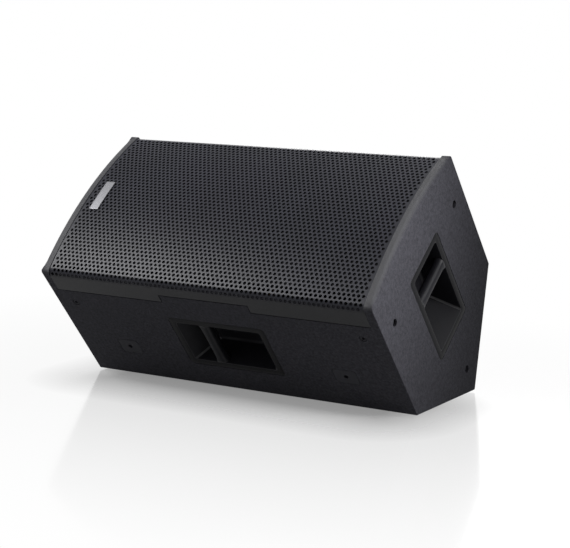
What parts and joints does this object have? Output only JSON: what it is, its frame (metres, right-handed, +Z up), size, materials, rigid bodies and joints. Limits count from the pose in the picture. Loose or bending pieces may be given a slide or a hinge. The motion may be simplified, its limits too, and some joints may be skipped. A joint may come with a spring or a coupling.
{
  "type": "stage monitor wedge",
  "caption": "Black plywood stage monitor wedge with a bowed perforated grille, recessed bar handles, rigging points, woofer and horn inside, on rubber feet.",
  "frame": {"origin": "centre of the overall box, on the floor under the rubber feet", "axes": "+X along the cabinet towards the end with the handle, +Y away from the lower side panel, so that the grille faces -Y and up, +Z up"},
  "size_m": [0.66, 0.434, 0.4258],
  "materials": {
    "cabinet_paint": "textured black paint on plywood",
    "bare_plywood": "bare birch plywood",
    "grille_paint": "black powder coat on steel sheet",
    "acoustic_foam": "black open-cell foam",
    "badge_silver": "satin, blank",
    "handle_plastic": "moulded black plastic",
    "cast_frame": "black-painted casting",
    "cone_paper": "treated paper pulp",
    "black_rubber": "matt black",
    "spider_cloth": "resin-dipped cloth",
    "zinc_steel": "zinc-plated",
    "black_steel": "black-painted steel plate",
    "ferrite": "dark ceramic magnet",
    "titanium": "thin formed metal sheet",
    "copper_wire": "enamelled copper winding",
    "circuit_board": "green laminate",
    "capacitor_film": "wrapped film",
    "socket_plastic": "moulded, dark",
    "felt": "grey fibre felt",
    "cable_jacket": "soft jacket"
  },
  "bodies": {
    "cabinet": {"end_panel_left": "cabinet_paint", "end_panel_right": "cabinet_paint", "lower_side_panel": "cabinet_paint", "floor_panel": "cabinet_paint", "rear_panel": "cabinet_paint", "upper_side_panel": "cabinet_paint", "front_baffle": "bare_plywood", "cabinet_brace": "bare_plywood", "port_duct_lower": "handle_plastic", "port_duct_upper": "handle_plastic", "handle_cup_front": "handle_plastic", "handle_bar_front": "handle_plastic", "handle_cup_end": "handle_plastic", "handle_bar_end": "handle_plastic", "horn": "handle_plastic", "hf_phase_plug": "handle_plastic", "terminal_plate": "handle_plastic", "pole_socket": "handle_plastic", "grille": "grille_paint", "grille_foam": "acoustic_foam", "badge_plate": "badge_silver", "woofer_frame": "cast_frame", "hf_rear_cover": "cast_frame", "woofer_surround": "black_rubber", "woofer_gasket": "black_rubber", "woofer_spider": "spider_cloth", "woofer_top_plate": "zinc_steel", "woofer_magnet": "ferrite", "woofer_back_plate": "zinc_steel", "hf_yoke": "zinc_steel", "hf_magnet": "ferrite", "hf_top_plate": "zinc_steel", "crossover_board": "circuit_board", "crossover_inductor_low": "copper_wire", "crossover_inductor_high": "copper_wire", "crossover_capacitor_low": "capacitor_film", "crossover_capacitor_high": "capacitor_film", "terminal_socket_input": "socket_plastic", "terminal_socket_link": "socket_plastic", "input_lead": "cable_jacket", "woofer_lead": "cable_jacket", "hf_lead": "cable_jacket", "damping_felt": "felt", "rigging_plate_lower_left": "black_steel", "rigging_bracket_lower_left": "zinc_steel", "rigging_plate_lower_right": "black_steel", "rigging_bracket_lower_right": "zinc_steel", "rigging_plate_upper_left": "black_steel", "rigging_bracket_upper_left": "zinc_steel", "rigging_plate_upper_right": "black_steel", "rigging_bracket_upper_right": "zinc_steel", "rubber_foot_1": "black_rubber", "rubber_foot_2": "black_rubber", "rubber_foot_3": "black_rubber", "rubber_foot_4": "black_rubber"},
    "woofer_moving": {"woofer_cone": "cone_paper", "woofer_dust_cap": "cone_paper", "woofer_voice_coil": "copper_wire"},
    "hf_moving": {"hf_diaphragm": "titanium"}
  },
  "joints": [
    {"name": "woofer_travel", "type": "slide", "parent": "cabinet", "child": "woofer_moving", "axis": [0, -0.6347, 0.7727], "range_m": [-0.006, 0.006], "stiffness_N_per_m": 6000, "deforming": ["woofer_surround", "woofer_spider"]},
    {"name": "hf_travel", "type": "slide", "parent": "cabinet", "child": "hf_moving", "axis": [0, -0.6347, 0.7727], "range_m": [-0.0004, 0.0004], "stiffness_N_per_m": 4000}
  ]
}
